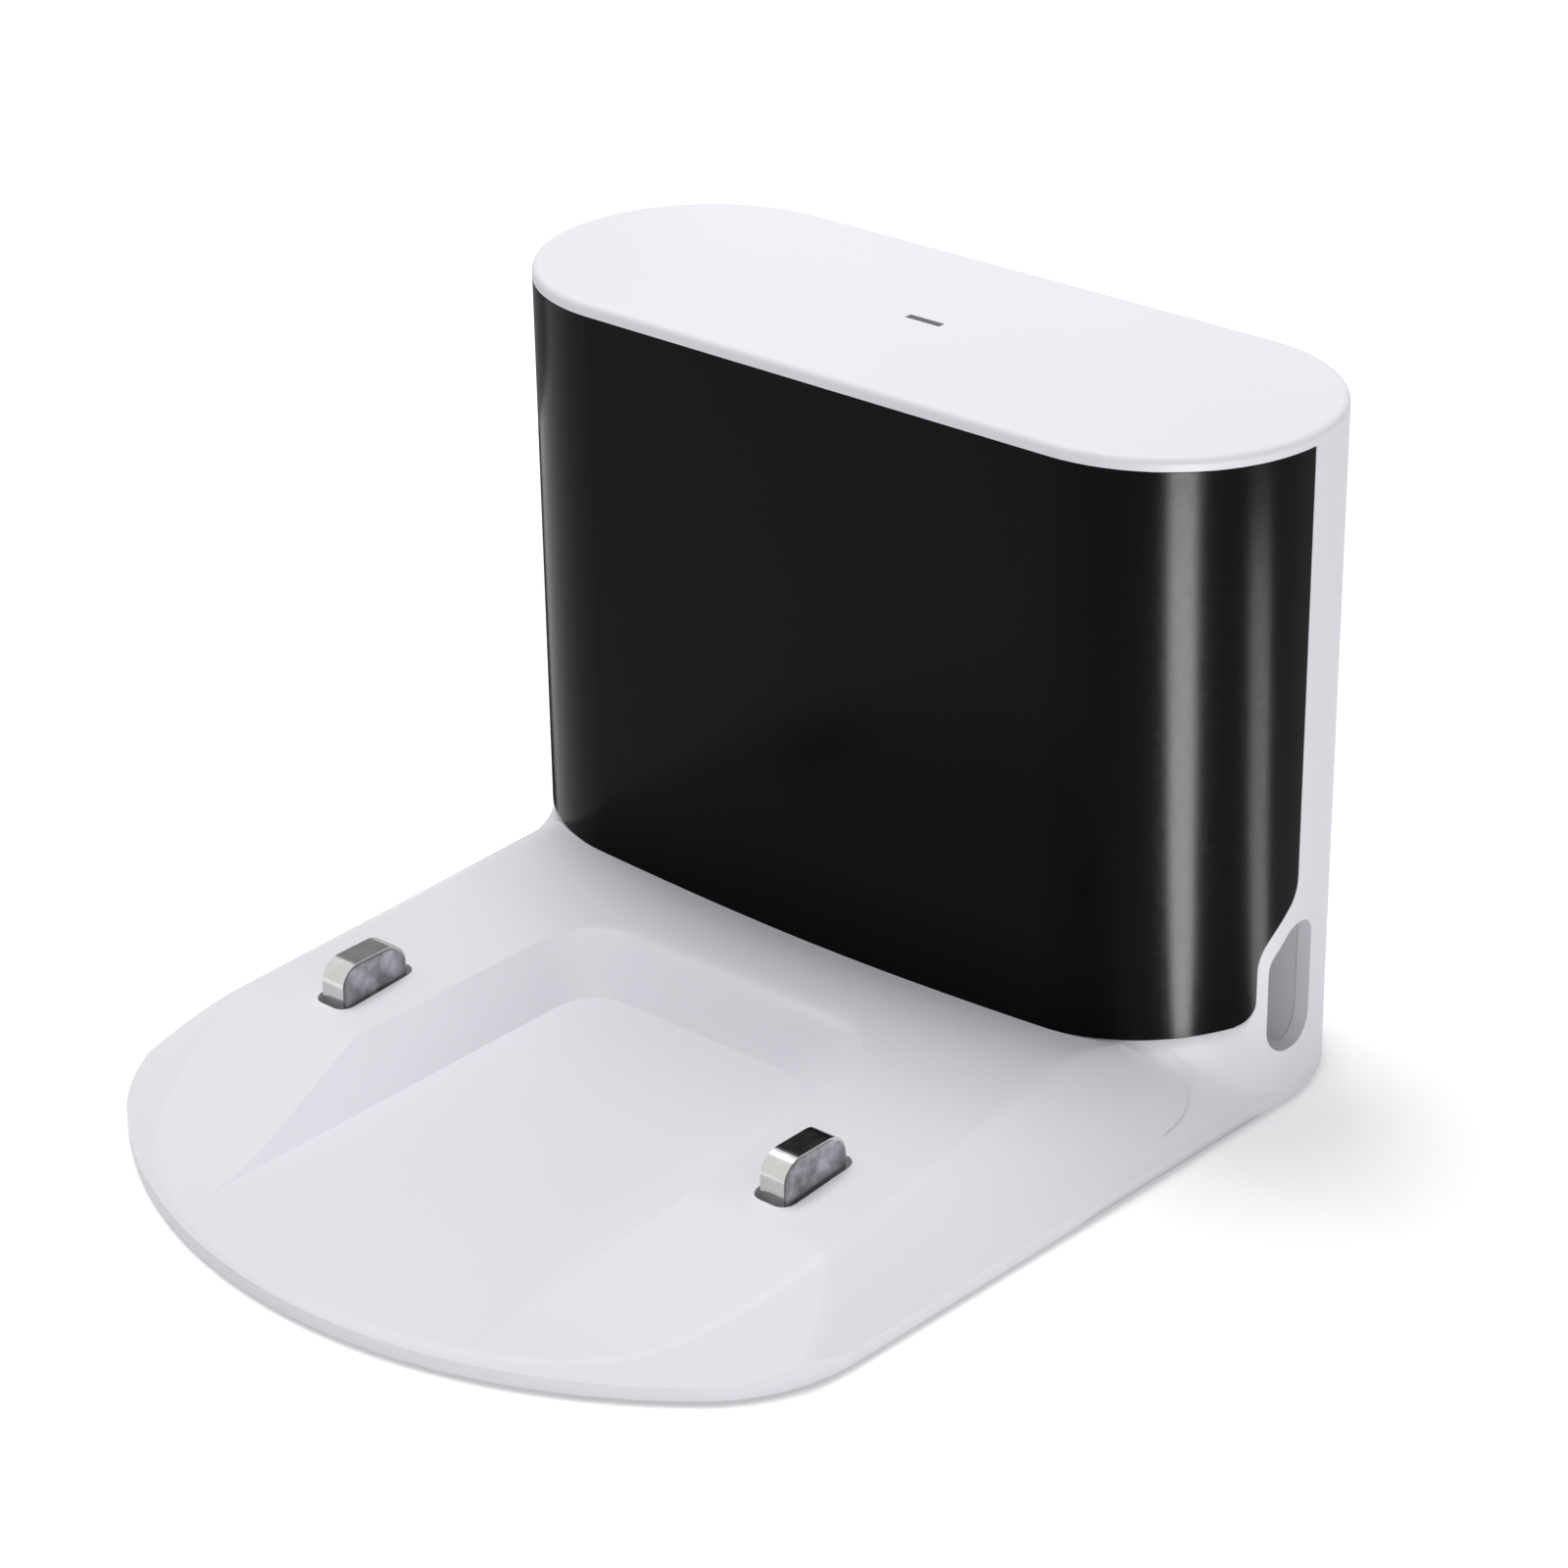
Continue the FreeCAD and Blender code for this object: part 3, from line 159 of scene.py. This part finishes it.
def moulded(name, first, second, roughness, grain=2400.0, depth=0.02, strength=0.25, gloss=0.4,
            soft_foot=False):
    """Moulded plastic or rubber: faint colour drift, and a fine spark-eroded grain."""
    finish, nodes, links, shader, place = new_finish(name)
    drift = add_noise(nodes, links, place, DRIFT_SCALE)
    fine = add_noise(nodes, links, place, grain, FINE_DETAIL)
    links.new(add_tint(nodes, links, drift, first, second), shader.inputs["Base Color"])
    uneven = add_spread(nodes, links, fine, roughness - ROUGHNESS_DRIFT, roughness + ROUGHNESS_DRIFT)
    links.new(uneven, shader.inputs["Roughness"])
    bump = add_grain(nodes, links, shader, fine, depth * MM, strength)
    if soft_foot:
        soften_foot(nodes, links, place, bump)
    shader.inputs["Specular IOR Level"].default_value = gloss
    return finish


def metal(name, first, second, roughness, grain=700.0):
    """Plated or bare metal with a slightly uneven polish."""
    finish, nodes, links, shader, place = new_finish(name)
    drift = add_noise(nodes, links, place, grain)
    links.new(add_tint(nodes, links, drift, first, second), shader.inputs["Base Color"])
    smooth, rough = METAL_ROUGHNESS
    uneven = add_spread(nodes, links, drift, roughness * smooth, roughness * rough)
    links.new(uneven, shader.inputs["Roughness"])
    shader.inputs["Metallic"].default_value = 1.0
    return finish


def clear(name, tint, roughness, share):
    """Clear moulding that lets part of the light through, its colour blotched at random with painted highlights
    and painted shade.
    """
    finish, nodes, links, shader, place = new_finish(name)
    cloud = add_noise(nodes, links, place, CLOUD_SCALE)
    # Pale and dark blotches: painted highlights and painted shade inside the clear plastic
    painted_glints = add_band(nodes, links, cloud, *CLOUD_EDGES)
    dark = [CLEAR_PAINTED_SHADE * part for part in tint]
    links.new(add_tint(nodes, links, painted_glints, dark, tint), shader.inputs["Base Color"])
    smooth, rough = CLEAR_ROUGHNESS
    uneven = add_spread(nodes, links, cloud, roughness * smooth, roughness * rough)
    links.new(uneven, shader.inputs["Roughness"])
    shader.inputs["Transmission Weight"].default_value = share
    shader.inputs["IOR"].default_value = ACRYLIC_IOR
    return finish


FINISHES = {
    "shell_white": moulded("shell_white", (0.795, 0.80, 0.85), (0.82, 0.825, 0.87), 0.5, gloss=0.25,
                           soft_foot=True),
    "window_black": moulded("window_black", (0.0014, 0.0014, 0.0014), (0.002, 0.002, 0.002), 0.2,
                            grain=900.0, strength=0.02, gloss=0.06),
    "inner_white": moulded("inner_white", (0.70, 0.705, 0.72), (0.74, 0.745, 0.76), 0.5),
    "foot_rubber": moulded("foot_rubber", (0.03, 0.03, 0.032), (0.045, 0.045, 0.047), 0.75, grain=1500.0),
    "contact_nickel": metal("contact_nickel", (0.56, 0.555, 0.54), (0.66, 0.655, 0.64), 0.16),
    "contact_clear": clear("contact_clear", (0.66, 0.63, 0.70), 0.12, 0.35),
    "spring_steel": metal("spring_steel", (0.45, 0.45, 0.45), (0.6, 0.6, 0.6), 0.3),
    "screw_steel": metal("screw_steel", (0.18, 0.18, 0.19), (0.28, 0.28, 0.29), 0.35),
    "terminal_brass": metal("terminal_brass", (0.6, 0.45, 0.2), (0.7, 0.55, 0.27), 0.28),
    "holder_black": moulded("holder_black", (0.015, 0.015, 0.015), (0.025, 0.025, 0.025), 0.5),
    "board_green": moulded("board_green", (0.01, 0.09, 0.035), (0.02, 0.15, 0.06), 0.35, grain=500.0),
    "part_dark": moulded("part_dark", (0.02, 0.02, 0.022), (0.04, 0.04, 0.044), 0.5),
    "capacitor_can": metal("capacitor_can", (0.5, 0.51, 0.55), (0.6, 0.61, 0.64), 0.3),
    "emitter_dark": clear("emitter_dark", (0.2, 0.12, 0.28), 0.1, 0.6),
    "light_clear": moulded("light_clear", (0.035, 0.036, 0.04), (0.05, 0.052, 0.056), 0.3),
    "lead_grey": moulded("lead_grey", (0.06, 0.06, 0.065), (0.1, 0.1, 0.105), 0.5),
}

for entry in frame["record"]["subparts"]:
    piece = frame["nodes"][entry["node"]]
    piece.data.materials.clear()
    piece.data.materials.append(FINISHES[entry["material_slot"]])


# Springs under the contacts

MERGE_DISTANCE = 0.001 * MM


def add_coil(side):
    """Coil under a contact: a smooth-shaded copy of the spring that stays with the dock, in place of the CAD
    spring.
    """
    node = f"contact_spring_{side}"
    shape = bmesh.new()
    shape.from_mesh(frame["nodes"][node].data)
    bmesh.ops.remove_doubles(shape, verts=shape.verts, dist=MERGE_DISTANCE)
    for face in shape.faces:
        face.smooth = True
    coil = add_object(f"contact_coil_{side}", shape)
    coil.data.materials.append(FINISHES["spring_steel"])
    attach(coil, "dock")
    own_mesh(coil)
    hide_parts(node)


for joint in frame["joints"]:
    add_coil(joint["child"].removeprefix("contact_"))


# Floor, lamps and camera

# The camera, fitted to the photo's edges: degrees, then metres, then pixels of the photo
BEARING = 41.618
ELEVATION = 26.094
ROLL = -0.836
EYE = Vector((367.547, -393.026, 310.671)) * MM
FOCAL_PIXELS = 4570.5
PHOTO_PIXELS = 1600
SENSOR = 36.0
CLIP_START = 0.01

# The studio
LAMP_TARGET = Vector((0, 0, 45 * MM))
AMBIENT = 0.37
AMBIENT_TINT = (0.97, 0.98, 1.0, 1.0)
WHITE = (1.0, 1.0, 1.0, 1.0)
FLOOR_HALF = 3.0
FLOOR_DRIFT = 2.0
FLOOR_TINTS = ((0.97, 0.97, 0.97), (1.0, 1.0, 1.0))
FLOOR_ROUGHNESS = 0.9
FLOOR_LIFT = 0.3
CARD_HEIGHT = 0.3 * MM

# Cards on the floor, in rows of (x, y, half width) in mm
SIDE_GLOW = [(80, 22, 3), (107, 3, 9), (158, -39, 20), (213, -94, 32), (261, -141, 42)]
REAR_GLOW = [(90, 56, 3), (116, 64, 7), (185, 77, 16), (263, 80, 26)]
DARK_FLOOR = [(-75, 45, 8), (-130, 95, 30), (-210, 165, 50), (-340, 285, 80)]


def from_bearing(bearing, elevation):
    """Direction that points away from the dock: bearing 0 is the front, 90 the right."""
    turn = math.radians(bearing)
    lift = math.radians(elevation)
    return Vector((math.sin(turn) * math.cos(lift), -math.cos(turn) * math.cos(lift), math.sin(lift)))


def add_camera():
    back = from_bearing(BEARING, ELEVATION)
    right = Vector((math.cos(math.radians(BEARING)), math.sin(math.radians(BEARING)), 0))
    tilt = Matrix.Rotation(math.radians(ROLL), 3, back)
    right = tilt @ right
    up = back.cross(right)
    lens = bpy.data.cameras.new("photo_camera")
    lens.sensor_width = SENSOR
    lens.lens = FOCAL_PIXELS * SENSOR / PHOTO_PIXELS
    lens.clip_start = CLIP_START
    camera = bpy.data.objects.new("photo_camera", lens)
    turn = Matrix((right, up, back)).transposed().to_4x4()
    camera.matrix_world = Matrix.Translation(EYE) @ turn
    bpy.context.scene.collection.objects.link(camera)
    bpy.context.scene.camera = camera


def add_lamp(name, bearing, elevation, distance, size, power):
    lamp = bpy.data.lights.new(name, "AREA")
    lamp.shape = "RECTANGLE"
    lamp.size, lamp.size_y = size
    lamp.energy = power
    direction = from_bearing(bearing, elevation)
    holder = bpy.data.objects.new(name, lamp)
    turn = direction.to_track_quat("Z", "Y").to_matrix().to_4x4()
    holder.matrix_world = Matrix.Translation(LAMP_TARGET + direction * distance) @ turn
    bpy.context.scene.collection.objects.link(holder)


def add_white_share(nodes, links, white, lit, target):
    """Plain white for what the camera, a gloss or a clear piece sees, and real light for the rest."""
    path = nodes.new("ShaderNodeLightPath")
    seen = nodes.new("ShaderNodeMath")
    seen.operation = "MAXIMUM"
    links.new(path.outputs["Is Camera Ray"], seen.inputs[0])
    links.new(path.outputs["Is Glossy Ray"], seen.inputs[1])
    through = nodes.new("ShaderNodeMath")
    through.operation = "MAXIMUM"
    links.new(seen.outputs[0], through.inputs[0])
    links.new(path.outputs["Is Transmission Ray"], through.inputs[1])
    share = nodes.new("ShaderNodeMixShader")
    links.new(through.outputs[0], share.inputs["Fac"])
    links.new(lit, share.inputs[1])
    links.new(white, share.inputs[2])
    links.new(share.outputs[0], target)


def add_world():
    world = bpy.data.worlds.new("studio")
    bpy.context.scene.world = world
    world.use_nodes = True
    nodes = world.node_tree.nodes
    links = world.node_tree.links
    lit = nodes["Background"]
    lit.inputs["Color"].default_value = AMBIENT_TINT
    lit.inputs["Strength"].default_value = AMBIENT
    white = nodes.new("ShaderNodeBackground")
    white.inputs["Color"].default_value = WHITE
    white.inputs["Strength"].default_value = 1.0
    add_white_share(nodes, links, white.outputs[0], lit.outputs[0], nodes["World Output"].inputs["Surface"])


def add_floor():
    shape = bmesh.new()
    bmesh.ops.create_grid(shape, x_segments=1, y_segments=1, size=FLOOR_HALF)
    floor = add_object("floor", shape)
    finish, nodes, links, shader, place = new_finish("floor_white")
    drift = add_noise(nodes, links, place, FLOOR_DRIFT)
    links.new(add_tint(nodes, links, drift, *FLOOR_TINTS), shader.inputs["Base Color"])
    shader.inputs["Roughness"].default_value = FLOOR_ROUGHNESS
    shader.inputs["Specular IOR Level"].default_value = 0.0
    lift = nodes.new("ShaderNodeEmission")
    lift.inputs["Strength"].default_value = FLOOR_LIFT
    lifted = nodes.new("ShaderNodeAddShader")
    links.new(shader.outputs["BSDF"], lifted.inputs[0])
    links.new(lift.outputs["Emission"], lifted.inputs[1])
    add_white_share(nodes, links, lifted.outputs[0], shader.outputs["BSDF"],
                    nodes["Material Output"].inputs["Surface"])
    floor.data.materials.append(finish)


def add_card(name, shape, strength):
    """Card that only a gloss shows, bright or dark, made from a bmesh."""
    bmesh.ops.recalc_face_normals(shape, faces=shape.faces)
    card = add_object(name, shape)
    card.visible_camera = False
    card.visible_diffuse = False
    card.visible_shadow = False
    finish = bpy.data.materials.new(name)
    finish.use_nodes = True
    nodes = finish.node_tree.nodes
    glow = nodes.new("ShaderNodeEmission")
    glow.inputs["Strength"].default_value = strength
    finish.node_tree.links.new(glow.outputs["Emission"], nodes["Material Output"].inputs["Surface"])
    card.data.materials.append(finish)


def add_floor_card(name, rows, strength):
    """Card just above the floor, given as rows of (x, y, half width) in mm."""
    shape = bmesh.new()
    points = [Vector((x, y, 0)) for x, y, _ in rows]
    along = (points[-1] - points[0]).normalized()
    across = Vector((-along.y, along.x, 0))
    edges = []
    for point, (_, _, half) in zip(points, rows):
        ends = [(point + across * side * half) * MM for side in (-1, 1)]
        edges.append(shape.edges.new([shape.verts.new(end + Vector((0, 0, CARD_HEIGHT))) for end in ends]))
    for first, second in zip(edges, edges[1:]):
        bmesh.ops.bridge_loops(shape, edges=[first, second])
    add_card(name, shape, strength)


def add_flag(name, middle, bearing, size, strength):
    """Upright square card, its middle and size in mm, turned to face along a bearing."""
    shape = bmesh.new()
    face = from_bearing(bearing, 0).to_track_quat("Z", "Y").to_matrix().to_4x4()
    place = Matrix.Translation(Vector(middle) * MM) @ face
    bmesh.ops.create_grid(shape, x_segments=1, y_segments=1, size=size / 2 * MM, matrix=place)
    add_card(name, shape, strength)


add_floor()
add_floor_card("side_glow", SIDE_GLOW, strength=60.0)
add_floor_card("rear_glow", REAR_GLOW, strength=20.0)
add_floor_card("dark_floor", DARK_FLOOR, strength=0.0)
add_flag("grey_flag", middle=(-141, 70, 95), bearing=48, size=110, strength=0.3)
add_world()
add_lamp("overhead", bearing=248, elevation=73, distance=1.1, size=(0.6, 0.6), power=8.5)
add_lamp("side_fill", bearing=65, elevation=1, distance=1.4, size=(1.0, 0.12), power=5.2)
add_camera()
bpy.context.scene.view_settings.view_transform = "Standard"
